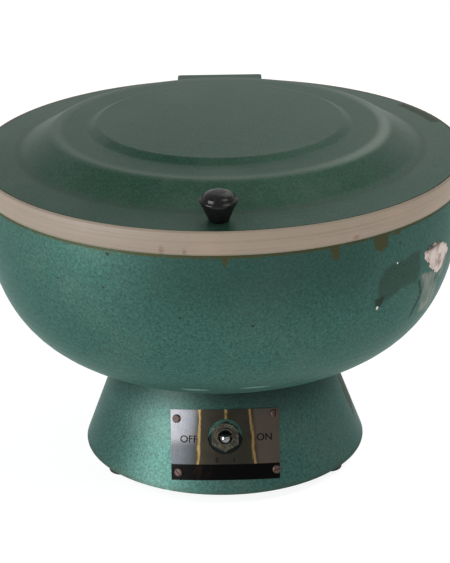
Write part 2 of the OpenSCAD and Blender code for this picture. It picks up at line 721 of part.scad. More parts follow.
module hinge_pin() color(plated) {
    end = 1.5;
    translate([-bracket_w / 2 - end, hinge_y, hinge_z]) rotate([0, 90, 0])
        cylinder(r = hinge_pin_r, h = bracket_w + 2 * end);
    for (side = [-1, 1]) translate([side * (bracket_w / 2 + end / 2 + 0.2), hinge_y, hinge_z])
        rotate([0, 90, 0]) cylinder(r = hinge_pin_r + 1, h = end, center = true);
}

// Lid and what swings with it
lid_top = rounded([[lid_inner_top_r - 3, lid_inner_top_z, 0],
    [lid_inner_top_r, lid_inner_top_z, 6],
    [lid_inner_foot_r, lid_inner_foot_z, 8], [lid_shoulder_r, lid_shoulder_z, 12],
    [lid_foot_r, lid_foot_z, 26], [lid_edge_r, lid_edge_z, 0]], 6);
crown_steps = 6;
lid_crown_line = [for (i = [0:crown_steps - 1]) let (s = i / crown_steps)
    [s * (lid_inner_top_r - 3), lid_inner_top_z + lid_crown * (1 - s * s)]];
lid_line = concat(lid_crown_line, lid_top);
module lid_shell() {
    last = len(lid_line) - 1;
    turned(concat(lid_line, [for (i = [last:-1:0]) lid_line[i] - [0, lid_t]]));
}
module lid() color(enamel) difference() {
    lid_shell();
    on_flange() translate([0, 0, -lid_t * 3]) cylinder(r = knob_screw_r + drill, h = 6 * lid_t);
    rivet_places() cylinder(r = rivet_r + slip, h = 3 * (lid_t + tab_t));
}
knob_screw_r = 2.5;
rivet_r = 2;
rivet_inset = 6;
rivet_top_z = lid_edge_z + (rivet_inset - rivet_r) * tan(flange_slope);
module on_flange() {
    rotate([0, 0, knob_angle]) translate([0, -knob_at_r, knob_z]) rotate([flange_slope, 0, 0])
        children();
}
module rivet_places() {
    for (side = [-1, 0, 1]) {
        x = side * tongue_w * 0.36;
        translate([x, sqrt(pow(lid_edge_r - rivet_inset, 2) - x * x), tab_low_z]) children();
    }
}
module lid_tongue() color(enamel) difference() {
    corner_r = 3;
    tab_w = tongue_w - 4;
    union() {
        difference() {
            translate([-tongue_w / 2, lid_edge_r * 0.9, tongue_low_z])
                cube([tongue_w, tongue_end_y - lid_edge_r * 0.9 - corner_r, tongue_t]);
            translate([0, 0, tongue_low_z - over])
                cylinder(r = lid_edge_r + loose, h = tongue_t + 2 * over, $fn = 144);
        }
        translate([-tongue_w / 2 + corner_r, tongue_end_y - corner_r - over, tongue_low_z])
            cube([tongue_w - 2 * corner_r, corner_r + over, tongue_t]);
        for (side = [-1, 1]) translate([side * (tongue_w / 2 - corner_r),
            tongue_end_y - corner_r, tongue_low_z]) cylinder(r = corner_r, h = tongue_t);
        // The tab under the lid's flange, and the joggle up to the tongue
        intersection() {
            translate([-tab_w / 2, lid_edge_r * 0.85, tab_low_z])
                cube([tab_w, lid_edge_r * 0.2, tab_t + 0.5]);
            difference() {
                translate([0, 0, tab_low_z - over])
                    cylinder(r = lid_edge_r + 4, h = tab_t + 2 * over, $fn = 144);
                translate([0, 0, tab_low_z - 2 * over])
                    cylinder(r = lid_edge_r - tab_in, h = tab_t + 4 * over, $fn = 144);
            }
        }
        for (i = [1:2:knuckle_count - 2]) {
            knuckle_band(i, knuckle_r);
            translate([-bracket_w / 2 + i * knuckle_l + knuckle_gap / 2, hinge_y - 3, hinge_z])
                cube([knuckle_l - knuckle_gap, 5, tongue_low_z - hinge_z + 0.5]);
        }
    }
    translate([-bracket_w, hinge_y, hinge_z]) rotate([0, 90, 0])
        cylinder(r = hinge_pin_r + slip, h = 2 * bracket_w);
    rivet_places() translate([0, 0, -tab_t]) cylinder(r = rivet_r + slip, h = 6 * tab_t);
    intersection() {
        lid_space();
        translate([-tongue_w, 0, 0]) cube([2 * tongue_w, 2 * tongue_end_y, 2 * lid_edge_z]);
    }
}
// The lid's own sheet and a little room under it
module lid_space() {
    turned([[lid_foot_r, lid_foot_z + 9], [lid_foot_r, lid_foot_z - lid_t - 0.1],
        [lid_edge_r + loose, lid_edge_z - lid_t - 0.1 - loose * tan(flange_slope)],
        [lid_edge_r + loose, lid_edge_z + 9]]);
}
module tongue_rivets() color(enamel) rivet_places() {
    head_t = 1.2;
    translate([0, 0, -head_t]) cylinder(r = rivet_r, h = rivet_top_z - tab_low_z + head_t);
    translate([0, 0, -head_t]) cylinder(r = rivet_r + 1.2, h = head_t);
}
module lid_knob() color(black) on_flange() difference() {
    rim_h = knob_h * 0.74;
    dome_r = knob_r - 2.7;
    groove_r = knob_r - 1.9;
    groove_w = 0.8;
    turned(concat([[0, loose]], rounded([[knob_base_r, loose, 0],
        [knob_base_r + 0.6, knob_h * 0.06, 1], [knob_base_r + 4, knob_h * 0.4, 14],
        [knob_r - 0.5, knob_h * 0.66, 4], [knob_r, rim_h, 1.2], [groove_r + 0.6, knob_h * 0.79, 1],
        [dome_r, knob_h * 0.8, 0.6], [dome_r * 0.88, knob_h * 0.92, 6],
        [dome_r * 0.5, knob_h * 0.99, 12], [0, knob_h, 0]], 5)));
    translate([0, 0, loose - over]) cylinder(r = knob_screw_r, h = knob_h * 0.5 + over);
    rotate_extrude() translate([groove_r, knob_h * 0.8]) circle(r = groove_w, $fn = 24);
}
module knob_screw() color(plated) on_flange() {
    head_h = 2.2;
    translate([0, 0, -lid_t - loose / 2]) rotate([180, 0, 0]) slotted_head(4.6, head_h);
    translate([0, 0, -lid_t - loose / 2])
        cylinder(r = knob_screw_r - slip, h = lid_t + loose + knob_h * 0.45);
}

// Rotor
module rotor_shaft() color(plated) {
    end_gap = 0.3;
    spindle_z = pedestal_h + 2;
    top = carrier_z;
    translate([0, 0, lower_bearing_z + end_gap])
        cylinder(r = shaft_r, h = top - lower_bearing_z - end_gap);
    translate([0, 0, spindle_z]) cylinder(r = spindle_r, h = hub_bottom_z - spindle_z);
    translate([0, 0, top - over]) cylinder(r = stud_r, h = stud_l - 2 + over);
}
module armature() color(iron) difference() {
    play = 0.5;
    translate([0, 0, stator_z + play])
        cylinder(r = stator_bore_r - air_gap, h = stator_top_z - stator_z - 2 * play);
    translate([0, 0, stator_z]) cylinder(r = shaft_r + 0.01, h = stator_top_z - stator_z);
}
module rotor_hub() color(plated) {
    top = carrier_z - carrier_t;
    skirt_z = hub_bottom_z - hub_skirt_drop;
    skirt_wall = 3.5;
    turned([[shaft_r + 0.01, hub_bottom_z], [hub_skirt_r - skirt_wall, hub_bottom_z],
        [hub_skirt_r - skirt_wall, skirt_z], [hub_skirt_r, skirt_z],
        [hub_skirt_r, hub_bottom_z + hub_skirt_h], [hub_r, hub_bottom_z + hub_neck_up],
        [hub_r, top - hub_flange_t - 5], [hub_r + 6, top - hub_flange_t],
        [hub_flange_r, top - hub_flange_t], [hub_flange_r, top], [shaft_r + 0.01, top]]);
}
module rotor_carrier() color(plated) {
    rim_z = pedestal_h + carrier_up;
    wall_z = carrier_t / cos(sleeve_slope);
    turned([[shaft_r + slip, carrier_z], [carrier_flat_r, carrier_z], [carrier_r, rim_z],
        [carrier_r, rim_z - carrier_rim_h], [carrier_r - carrier_t, rim_z - carrier_rim_h],
        [carrier_r - carrier_t, rim_z + carrier_t * tan(sleeve_slope) - wall_z],
        [carrier_flat_r - 0.5, carrier_z - carrier_t], [shaft_r + slip, carrier_z - carrier_t]]);
}
module rotor_washer() color(plated) difference() {
    translate([0, 0, carrier_z]) cylinder(r = nut_r + 7, h = washer_t);
    translate([0, 0, carrier_z - over]) cylinder(r = stud_r + slip, h = washer_t + 2 * over);
}
module rotor_nut() color(stainless) translate([0, 0, carrier_z + washer_t]) difference() {
    grooves = 24;
    turned(rounded([[0, 0, 0], [nut_r, 0, 0.8], [nut_r, nut_h * 0.7, 2], [nut_r * 0.7, nut_h, 5],
        [0, nut_h, 0]], 5));
    translate([0, 0, -over]) cylinder(r = stud_r + slip, h = stud_l - washer_t + over);
    for (i = [0:grooves - 1]) rotate([0, 0, i * 360 / grooves])
        translate([nut_r + 0.3, 0, 2]) cylinder(r = 1, h = nut_h * 0.5, $fn = 16);
}
module sleeve_place(i) {
    rotate([0, 0, (i - 0.5) * 360 / sleeve_count + rotor_turn])
        translate([sleeve_end_r, 0, sleeve_end_z]) rotate([0, sleeve_slope - 90, 0]) children();
}
module sleeve(i) color(stainless) sleeve_place(i) {
    shoe = [2 * sleeve_wall, 12, 14];
    shoe_at = [0.12, 0.76];
    difference() {
        union() {
            cylinder(r = sleeve_r, h = sleeve_len);
            translate([0, 0, sleeve_len - 3]) cylinder(r = sleeve_r + sleeve_lip, h = 3);
            for (s = shoe_at)
                translate([-sleeve_r - sleeve_lift + 0.1, -shoe[1] / 2, s * sleeve_len])
                    cube([sleeve_wall + sleeve_lift, shoe[1], shoe[2]]);
        }
        translate([0, 0, sleeve_floor + pad_t])
            cylinder(r = sleeve_bore_r, h = sleeve_len);
        translate([0, 0, sleeve_floor]) cylinder(r = sleeve_bore_r + 0.3, h = pad_t);
    }
}
module pad(i) color(black) sleeve_place(i) translate([0, 0, sleeve_floor])
    cylinder(r = sleeve_bore_r + 0.2, h = pad_t);

pedestal();
base_plate();
base_plate_screws();
foot(foot_angles[0]);  // foot_left
foot(foot_angles[1]);  // foot_right
foot(foot_angles[2]);  // foot_rear
foot_screws();
bowl();
bowl_bolts();
rim_band();
shaft_collar();
motor_flange();
motor_shell();
motor_end_cap();
motor_tie_rods();
bearing(upper_bearing_z);  // upper_bearing
bearing(lower_bearing_z);  // lower_bearing
stator_core();
stator_windings();
terminal_block();
cable_gland();
gland_nut();
nameplate();
nameplate_screws();
switch_body();
switch_neck();
switch_nut();
toggle_lever();
hinge_bracket();
hinge_bolts();
hinge_pin();
lid();
lid_tongue();
tongue_rivets();
lid_knob();
knob_screw();
rotor_shaft();
armature();
rotor_hub();
rotor_carrier();
rotor_washer();
rotor_nut();
for (i = [1:sleeve_count]) sleeve(i);
for (i = [1:sleeve_count]) pad(i);
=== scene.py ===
"""Looks of a butterfat centrifuge, laid out as an add-on and run as a script.

The frame is in metres: origin on the rotor's axis at the pedestal's lower rim, -Y front, +Z up.
Places on the round surfaces are an azimuth in degrees, 0 at the front and positive to the
right, and a height in millimetres.
"""

import math

import bmesh
import bpy
from mathutils import Matrix, Vector, noise
from mathutils.bvhtree import BVHTree


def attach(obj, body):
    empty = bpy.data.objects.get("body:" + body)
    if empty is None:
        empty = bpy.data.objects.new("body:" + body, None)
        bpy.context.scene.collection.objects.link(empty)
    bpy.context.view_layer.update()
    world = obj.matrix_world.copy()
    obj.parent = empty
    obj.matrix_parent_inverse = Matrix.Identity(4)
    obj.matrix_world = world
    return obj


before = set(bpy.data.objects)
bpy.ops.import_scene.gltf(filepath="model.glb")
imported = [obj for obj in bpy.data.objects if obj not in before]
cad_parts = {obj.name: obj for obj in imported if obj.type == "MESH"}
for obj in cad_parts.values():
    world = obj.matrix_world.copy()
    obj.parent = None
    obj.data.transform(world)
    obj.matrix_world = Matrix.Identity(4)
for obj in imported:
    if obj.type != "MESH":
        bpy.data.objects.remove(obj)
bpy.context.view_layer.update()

bl_info = {
    "name": "Butterfat centrifuge",
    "version": (1, 0, 0),
    "blender": (4, 5, 0),
    "location": "View3D > Sidebar > Centrifuge",
    "description": "Finishes a butterfat centrifuge and sets its stage",
    "category": "Object",
}

MM = 0.001

# The pedestal's cone: radius at its foot in mm, and its slope
CONE_FOOT_R = 128.8
CONE_SLOPE = math.radians(20.63)
# Height of the nameplate's face off the cone, in mm
PLATE_FACE = 0.9
# Size of a font for letters one unit high
FONT_FOR_LETTER = 1.38

# Radii in mm at which an azimuth is turned into a width of wear
BOWL_WEAR_R = 210.0
LID_WEAR_R = 203.0
BAND_WEAR_R = 215.0
CONE_WEAR_R = 113.0

# The camera: place in metres, angles in radians, and its sensor in mm
CAMERA_AT = (0, -1.64709, 0.82075)
CAMERA_PITCH = 0.38685
CAMERA_YAW = 0.00122
CAMERA_ROLL = -0.01492
SENSOR_WIDTH = 36
# The point that all lamps face, and half the floor's width, in metres
LAMPS_FACE = (0, 0, 0.16)
FLOOR_HALF = 4.0
FLOOR_TONE = 0.3
FLOOR_GLOW = 1.4
FLOOR_GLOW_SEEN = 0.86

# Tint of the light that grazes the enamel
LIMB_TINT = (0.45, 0.56, 0.54, 1)
NO_TINT = (1, 1, 1, 1)
COAT_ROUGHNESS = 0.45

ENAMEL_LID = ["lid", "lid_tongue", "tongue_rivets"]
ENAMEL_BOWL = ["bowl", "hinge_bracket"]
ENAMEL_PEDESTAL = ["pedestal"]
DULL_STEEL = ["base_plate_screws", "foot_screws", "bowl_bolts", "motor_tie_rods", "upper_bearing",
              "lower_bearing", "hinge_bolts", "hinge_pin", "knob_screw", "rotor_shaft",
              "rotor_washer", "rotor_nut"]
SLEEVES = [f"sleeve_{i}" for i in range(1, 9)]
PADS = [f"pad_{i}" for i in range(1, 9)]
IRON = ["base_plate", "motor_flange", "motor_shell", "motor_end_cap", "stator_core", "armature"]
BLACK_RUBBER = ["foot_left", "foot_right", "foot_rear", "shaft_collar"] + PADS
BLACK_PLASTIC = ["cable_gland", "gland_nut", "switch_body"]

# A mark is azimuth, height, half width and half height in mm, softness and raggedness
GLUE_MARKS = [
    (0.5, 254.0, 2.2, 4.5, 0.3, 0.4),
    (43.0, 245.2, 1.6, 1.4, 0.3, 0.6),
    (42.0, 256.0, 4.5, 2.5, 0.3, 0.6),
]
CHIP_MARKS = [(37.6, 191.0, 1.5, 1.7, 0.3, 0.7), (42.5, 227.6, 0.8, 0.8, 0.3, 0.7)]
GLINT_MARKS = [(-8.5, 119.0, 14.5, 2.0, 0.3, 0.2), (8.8, 122.4, 15.0, 1.3, 0.3, 0.2)]
SPECK_MARKS = [
    (-25.5, 253.7, 1.6, 1.4, 0.4, 0.4),
    (-39.5, 222.0, 1.2, 1.2, 0.4, 0.4),
    (-27.0, 223.6, 1.1, 1.0, 0.4, 0.4),
    (-9.5, 202.9, 1.2, 1.0, 0.4, 0.4),
    (6.5, 195.1, 1.2, 1.1, 0.4, 0.4),
]
# Convex outlines of wear, each corner an azimuth and a height
DRIPS = [
    [(34.4, 260.0), (39.2, 260.0), (39.0, 246.3), (37.0, 242.6), (35.3, 247.9)],
    [(23.6, 260.0), (26.2, 260.0), (25.8, 247.0), (24.4, 245.6)],
    [(-1.0, 260.0), (3.0, 260.0), (1.4, 255.0), (0.2, 255.0)],
]
FILM = [
    [(37.0, 216.0), (39.0, 226.6), (50.0, 231.7), (51.5, 213.0), (50.5, 201.0), (37.5, 202.4)],
    [(37.5, 204.4), (45.0, 204.5), (41.5, 195.7), (38.5, 194.6)],
]
STROKES = [
    [(36.6, 200.0), (39.6, 201.0), (39.2, 193.5), (37.0, 190.0)],
    [(51.5, 200.0), (52.3, 200.0), (54.5, 185.0), (53.7, 184.0)],
    [(53.0, 184.5), (54.4, 183.0), (52.6, 164.5), (51.6, 164.5)],
]
SMEARS = [
    [(52.8, 205.4), (61.0, 197.0), (64.0, 172.0), (63.5, 158.0), (56.5, 164.0)],
    [(65.0, 203.0), (66.6, 205.0), (66.0, 186.0), (62.6, 190.0)],
]
PEDESTAL_RESIDUE = [[(80.0, 64.0), (90.0, 60.0), (91.0, 32.0), (82.0, 21.0), (79.5, 42.0)]]
# The tape's rest on the lid: each corner an azimuth and a radius
LID_TAPE = [[(107.0, 200.5), (124.5, 200.5), (124.5, 210.0), (107.0, 210.0)]]
# Marks of painted shade on the pedestal in the nameplate's window, and rust marks on the band
WINDOW_SHADE_MARKS = [(0.0, 41.4, 16.4, 15.4, 0.03, 0.0)]
BAND_RUST_MARKS = [
    (-13.0, 262.0, 2.0, 3.5, 0.7, 0.6),
    (-8.0, 261.5, 1.6, 3.0, 0.7, 0.6),
    (30.0, 262.0, 3.0, 2.0, 0.7, 0.6),
]

# The outline of the torn label's rest: azimuth and height
LABEL_OUTLINE = [
    (52.5, 226.1), (55.5, 229.5), (59.0, 228.0), (64.5, 219.2), (66.4, 209.9),
    (64.5, 204.4), (63.2, 197.8), (60.5, 196.2), (57.0, 205.9), (53.0, 219.4),
]

# Lettering on the plate: words, place across and up the plate's plane, height of the letters, in mm
PLATE_WORDS = [
    ("OFF", -32.0, 49.0, 6.5),
    ("ON", 34.5, 50.0, 6.5),
    ("0", -7.5, 30.5, 4.0),
    ("1", 7.5, 30.5, 4.0),
]


def linear(red, green, blue):
    """A colour written from 0 to 255 as light values."""
    return tuple(((c / 255 + 0.055) / 1.055) ** 2.4 if c > 10 else c / 255 / 12.92
                 for c in (red, green, blue))


def radial(azimuth, radius, height):
    """A point at an azimuth in degrees, with radius and height in mm."""
    turn = math.radians(azimuth)
    return Vector((radius * math.sin(turn) * MM, -radius * math.cos(turn) * MM, height * MM))


def on_cone(across, up, lift):
    """A point of the plate's plane, in mm, pressed onto the pedestal's cone and lifted off it."""
    along = Vector((0, math.sin(CONE_SLOPE), math.cos(CONE_SLOPE)))
    out = Vector((0, -math.cos(CONE_SLOPE), math.sin(CONE_SLOPE)))
    flat = Vector((across, -CONE_FOOT_R, 0)) + along * up
    low, high = -60.0, 20.0
    for _ in range(40):
        middle = (low + high) / 2
        spot = flat + out * middle
        off = math.hypot(spot.x, spot.y) - (CONE_FOOT_R - spot.z * math.tan(CONE_SLOPE))
        low, high = (low, middle) if off * math.cos(CONE_SLOPE) > lift else (middle, high)
    return (flat + out * low) * MM


class Value:
    """A shader socket with arithmetic."""

    def __init__(self, graph, socket):
        self.graph = graph
        self.socket = socket

    def __add__(self, other):
        return self.graph.math("ADD", self, other)

    def __radd__(self, other):
        return self.graph.math("ADD", other, self)

    def __sub__(self, other):
        return self.graph.math("SUBTRACT", self, other)

    def __rsub__(self, other):
        return self.graph.math("SUBTRACT", other, self)

    def __mul__(self, other):
        return self.graph.math("MULTIPLY", self, other)

    def __rmul__(self, other):
        return self.graph.math("MULTIPLY", other, self)

    def __truediv__(self, other):
        return self.graph.math("DIVIDE", self, other)

    def __rtruediv__(self, other):
        return self.graph.math("DIVIDE", other, self)

    def __pow__(self, other):
        return self.graph.math("POWER", self, other)


class Graph:
    """Builds one node tree."""

    def __init__(self, tree):
        self.tree = tree
        tree.nodes.clear()

    def node(self, kind, settings, sockets, out=0):
        """Adds a node of a type, with its settings, then its sockets."""
        made = self.tree.nodes.new(kind)
        for key, value in settings.items():
            setattr(made, key, value)
        for key, value in sockets.items():
            if isinstance(value, Value):
                self.tree.links.new(value.socket, made.inputs[key])
            else:
                made.inputs[key].default_value = value
        return Value(self, made.outputs[out]) if made.outputs else None

    def math(self, operation, *values):
        return self.node("ShaderNodeMath", {"operation": operation}, dict(enumerate(values)))

    def ramp(self, value, low, high):
        """0 below low, 1 above high, smooth between."""
        return self.node("ShaderNodeMapRange", {"interpolation_type": "SMOOTHSTEP"},
                         {"Value": value, "From Min": low, "From Max": high})

    def band(self, value, low, high, edge):
        """1 between low and high, with soft edges."""
        above = self.ramp(value, low - edge, low + edge)
        return above * (1 - self.ramp(value, high - edge, high + edge))

    def mix(self, factor, first, second):
        """From the first colour to the second by the factor."""
        first = first if isinstance(first, Value) else (*first, 1)
        second = second if isinstance(second, Value) else (*second, 1)
        return self.node("ShaderNodeMix", {"data_type": "RGBA"}, {0: factor, 6: first, 7: second}, 2)

    def most(self, *values):
        found = values[0]
        for value in values[1:]:
            found = self.math("MAXIMUM", found, value)
        return found

    def point(self):
        return self.node("ShaderNodeTexCoord", {}, {}, "Object")

    def axes(self, vector):
        return [self.node("ShaderNodeSeparateXYZ", {}, {"Vector": vector}, axis) for axis in "XYZ"]

    def vector(self, x, y, z):
        return self.node("ShaderNodeCombineXYZ", {}, {"X": x, "Y": y, "Z": z})

    def grain(self, vector, scale, detail=2.0, roughness=0.5):
        """Noise from 0 to 1."""
        return self.node("ShaderNodeTexNoise", {}, {"Vector": vector, "Scale": scale, "Detail": detail,
                                                    "Roughness": roughness})

    def cells(self, vector, scale):
        """Distance to the nearest cell's middle."""
        return self.node("ShaderNodeTexVoronoi", {"feature": "SMOOTH_F1"},
                         {"Vector": vector, "Scale": scale})

    def bump(self, height, depth):
        return self.node("ShaderNodeBump", {}, {"Height": height, "Distance": depth})

    def place(self):
        """Azimuth in degrees, height and radius in mm."""
        x, y, z = self.axes(self.point())
        azimuth = self.math("ARCTAN2", x, y * -1) * math.degrees(1)
        radius = self.math("SQRT", x * x + y * y) * 1000
        return azimuth, z * 1000, radius

    def surface(self, sockets):
        return self.node("ShaderNodeBsdfPrincipled", {}, sockets)

    def areas(self, azimuth, height, rough, outlines, edge, wobble, radius=BOWL_WEAR_R):
        """The strongest of some convex outlines with ragged edges."""
        across = azimuth * math.radians(radius)
        found = []
        for outline in outlines:
            points = [(math.radians(radius) * turn, up) for turn, up in outline]
            sides = list(zip(points, points[1:] + points[:1]))
            way = 1 if sum(x1 * y2 - x2 * y1 for (x1, y1), (x2, y2) in sides) > 0 else -1
            depth = None
            for (x1, y1), (x2, y2) in sides:
                long = math.hypot(x2 - x1, y2 - y1) * way
                out_x = (y1 - y2) / long
                out_y = (x2 - x1) / long
                reach = across * out_x + height * out_y - (x1 * out_x + y1 * out_y)
                depth = self.math("MINIMUM", depth, reach) if depth else reach
            found.append(self.ramp(depth + (rough - 0.5) * wobble, -edge, edge))
        return self.most(*found)

    def marks(self, azimuth, height, rough, listed, radius=BOWL_WEAR_R):
        """The strongest of some marks, each an oval with a ragged edge."""
        found = []
        for turn, up, wide, high, edge, wobble in listed:
            along = (azimuth - turn) * (math.radians(radius) / wide)
            aside = (height - up) / high
            reach = self.math("SQRT", along * along + aside * aside) + (rough - 0.5) * (wobble * 2)
            found.append(1 - self.ramp(reach, 1 - edge, 1 + edge))
        return self.most(*found)


def material(name, build):
    """A material whose surface the build function makes."""
    made = bpy.data.materials.new(name)
    made.use_nodes = True
    graph = Graph(made.node_tree)
    graph.node("ShaderNodeOutputMaterial", {}, {"Surface": build(graph)})
    return made


def paint(names, finish):
    """Gives CAD nodes a material."""
    for name in names:
        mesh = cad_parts[name].data
        mesh.materials.clear()
        mesh.materials.append(finish)


def piece(name, geometry, finish, body):
    """Turns a bmesh into a piece that moves with a body."""
    mesh = bpy.data.meshes.new(name)
    geometry.to_mesh(mesh)
    geometry.free()
    made = bpy.data.objects.new(name, mesh)
    bpy.context.scene.collection.objects.link(made)
    made.data.materials.append(finish)
    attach(made, body)
    return made


def enamel(graph, own, layers, tint, grazing=LIMB_TINT):
    """Hammered stove enamel with layers of wear and of painted light and shade: mask, colour, roughness.
    """
    point = graph.point()
    hammer = graph.cells(point, 1 / own.cell)
    mottle = graph.grain(point, 0.7 / own.cell, 3.0, 0.65)
    fleck = graph.grain(point, 1.4 / own.cell, 2.0, 0.6)
    cloud = graph.grain(point, 14.0, 3.0, 0.6)
    light = tuple(c * 1.35 for c in tint)
    dark = tuple(c * 0.9 for c in tint)
    colour = graph.mix(graph.ramp(mottle, 0.34, 0.66), dark, light)
    vein = graph.most(graph.ramp(hammer, 0.4, 0.6) * 0.7, graph.ramp(fleck, 0.52, 0.62) * 0.8)
    colour = graph.mix(vein * own.veins, colour, tuple(c * 0.15 for c in tint))
    colour = graph.mix(graph.ramp(cloud, 0.4, 0.75) * 0.16, colour, own.dust)
    rough = own.roughness + (cloud - 0.5) * 0.12
    for mask, layer_colour, layer_rough in layers:
        colour = graph.mix(mask, colour, layer_colour)
        rough = rough + (layer_rough - rough) * mask
    height = (1 - hammer) * 0.6 + mottle * 0.4
    return graph.surface({
        "Base Color": colour, "Roughness": rough, "Metallic": own.metal,
        "Specular IOR Level": own.specular, "Specular Tint": grazing,
        "Coat Weight": own.coat, "Coat Roughness": COAT_ROUGHNESS,
        "Normal": graph.bump(height, own.depth),
    })


class EnamelFinish(bpy.types.PropertyGroup):
    """Green hammered enamel and its wear."""

    colour: bpy.props.FloatVectorProperty(name="Enamel", description="Colour of the bowl's enamel",
                                          subtype="COLOR", size=3, default=linear(42, 75, 67))
    lid_colour: bpy.props.FloatVectorProperty(name="Lid", description="Colour of the lid's enamel",
                                              subtype="COLOR", size=3, default=linear(25, 54, 42))
    dust: bpy.props.FloatVectorProperty(name="Dust", description="Colour of the thin dust",
                                        subtype="COLOR", size=3, default=linear(84, 94, 88))
    glue: bpy.props.FloatVectorProperty(name="Glue", description="Colour of the old glue",
                                        subtype="COLOR", size=3, default=linear(52, 48, 22))
    roughness: bpy.props.FloatProperty(name="Roughness", description="Roughness of the enamel",
                                       subtype="FACTOR", min=0, max=1, default=0.5)
    metal: bpy.props.FloatProperty(name="Metal", description="How far the enamel shines like metal",
                                   subtype="FACTOR", min=0, max=1, default=0.6)
    specular: bpy.props.FloatProperty(name="Gloss", description="Strength of the mirror light",
                                      subtype="FACTOR", min=0, max=1, default=0.04)
    coat: bpy.props.FloatProperty(name="Coat", description="Weight of the clear coat",
                                  subtype="FACTOR", min=0, max=1, default=0.12)
    cell: bpy.props.FloatProperty(name="Cell", description="Size of a hammer dent",
                                  unit="LENGTH", precision=4, default=1.6 * MM)
    veins: bpy.props.FloatProperty(name="Veins", description="Darkness of the veins round the dents",
                                   subtype="FACTOR", min=0, max=1, default=0.5)
    depth: bpy.props.FloatProperty(name="Depth", description="Depth of a hammer dent",
                                   unit="LENGTH", precision=5, default=0.12 * MM)


class BandFinish(bpy.types.PropertyGroup):
    """The rubber band round the rim."""

    colour: bpy.props.FloatVectorProperty(name="Rubber", description="Colour of the clean rubber",
                                          subtype="COLOR", size=3, default=linear(130, 117, 103))
    grime: bpy.props.FloatVectorProperty(name="Grime", description="Colour in the scratches",
                                         subtype="COLOR", size=3, default=linear(98, 85, 71))
    scratch: bpy.props.FloatProperty(name="Scratches", description="Strength of the fine scratches",
                                     subtype="FACTOR", min=0, max=1, default=0.6)


class SteelFinish(bpy.types.PropertyGroup):
    """The bare metals."""

    # Painted reflection: the bright upper left of the nameplate
    plate: bpy.props.FloatVectorProperty(name="Plate", description="Bright part of the nameplate",
                                         subtype="COLOR", size=3, default=linear(70, 73, 76))
    shade: bpy.props.FloatVectorProperty(name="Shade", description="Dark part of the nameplate",
                                         subtype="COLOR", size=3, default=linear(52, 50, 44))
    # Painted reflection: the warm streaks and spark on the nameplate
    warm_reflection: bpy.props.FloatVectorProperty(name="Streaks", description="Warm streaks of the nameplate",
                                        subtype="COLOR", size=3, default=linear(150, 124, 76))
    plated: bpy.props.FloatVectorProperty(name="Plated", description="Plated screws and shafts",
                                          subtype="COLOR", size=3, default=linear(150, 150, 146))
    aluminium: bpy.props.FloatVectorProperty(name="Aluminium", description="Turned rotor parts",
                                             subtype="COLOR", size=3, default=linear(178, 180, 182))
    rust: bpy.props.FloatVectorProperty(name="Rust", description="Rust on screws and band",
                                        subtype="COLOR", size=3, default=linear(96, 62, 42))


class LetteringSize(bpy.types.PropertyGroup):
    """Lettering of the nameplate."""

    proud: bpy.props.FloatProperty(name="Thickness", description="Thickness of the printed ink",
                                   unit="LENGTH", precision=5, default=0.1 * MM)
    ink: bpy.props.FloatVectorProperty(name="Ink", description="Colour of the ink",
                                       subtype="COLOR", size=3, default=linear(6, 6, 5))


class LabelRest(bpy.types.PropertyGroup):
    """What is left of a torn paper label."""

    paper: bpy.props.FloatVectorProperty(name="Paper", description="Colour of the paper",
                                         subtype="COLOR", size=3, default=linear(178, 165, 158))
    thickness: bpy.props.FloatProperty(name="Thickness", description="Thickness of the paper",
                                       unit="LENGTH", precision=5, default=0.18 * MM)
    cell: bpy.props.FloatProperty(name="Cell", description="Size of one face of the paper",
                                  unit="LENGTH", precision=5, default=0.6 * MM)


class StageLook(bpy.types.PropertyGroup):
    """Camera, lamps and floor."""

    lens: bpy.props.FloatProperty(name="Lens", description="Focal length in mm", default=125.03)
    key: bpy.props.FloatProperty(name="Window", description="Power of the window mirrored in the enamel",
                                 unit="POWER", default=125.0)
    soft: bpy.props.FloatProperty(name="Soft", description="Power of the soft light from the window",
                                  unit="POWER", default=22.0)
    side: bpy.props.FloatProperty(name="Side", description="Power of the right lamp",
                                  unit="POWER", default=17.0)
    rear: bpy.props.FloatProperty(name="Rear", description="Power of the rear lamp",
                                  unit="POWER", default=5.0)
    air: bpy.props.FloatProperty(name="Air", description="Strength of the light from all round",
                                 default=0.28)
    floor_z: bpy.props.FloatProperty(name="Floor", description="Height of the floor",
                                     unit="LENGTH", default=-12 * MM)


class CENTRIFUGE_OT_lid(bpy.types.Operator):
    """Enamels the lid, its tongue and rivets"""

    bl_idname = "centrifuge.lid"
    bl_label = "Lid"

    def execute(self, context):
        own = context.scene.centrifuge_enamel

        def build(graph):
            azimuth, _, radius = graph.place()
            rough = graph.grain(graph.point(), 160.0, 4.0, 0.65)
            tape = graph.areas(azimuth, radius, rough, LID_TAPE, 0.6, 2.0, LID_WEAR_R)
            # Painted highlight along the crest of the outer step, stronger on the right side
            lit = graph.band(azimuth, 45.0, 120.0, 25.0) * 0.3 + 0.14
            crest_highlight = graph.band(radius, 140, 149, 3.5) * lit
            # Painted shade in the crease at the foot of the outer step, broken by noise
            step_foot_shade = graph.band(radius, 176, 181, 2.5) * (0.25 + rough * 0.5)
            return enamel(graph, own, [
                (crest_highlight, linear(108, 118, 110), 0.45),
                (step_foot_shade, linear(36, 50, 42), 0.6),
                (tape * 0.85, linear(34, 42, 32), 0.7),
            ], tuple(own.lid_colour), NO_TINT)

        paint(ENAMEL_LID, material("enamel_lid", build))
        return {"FINISHED"}


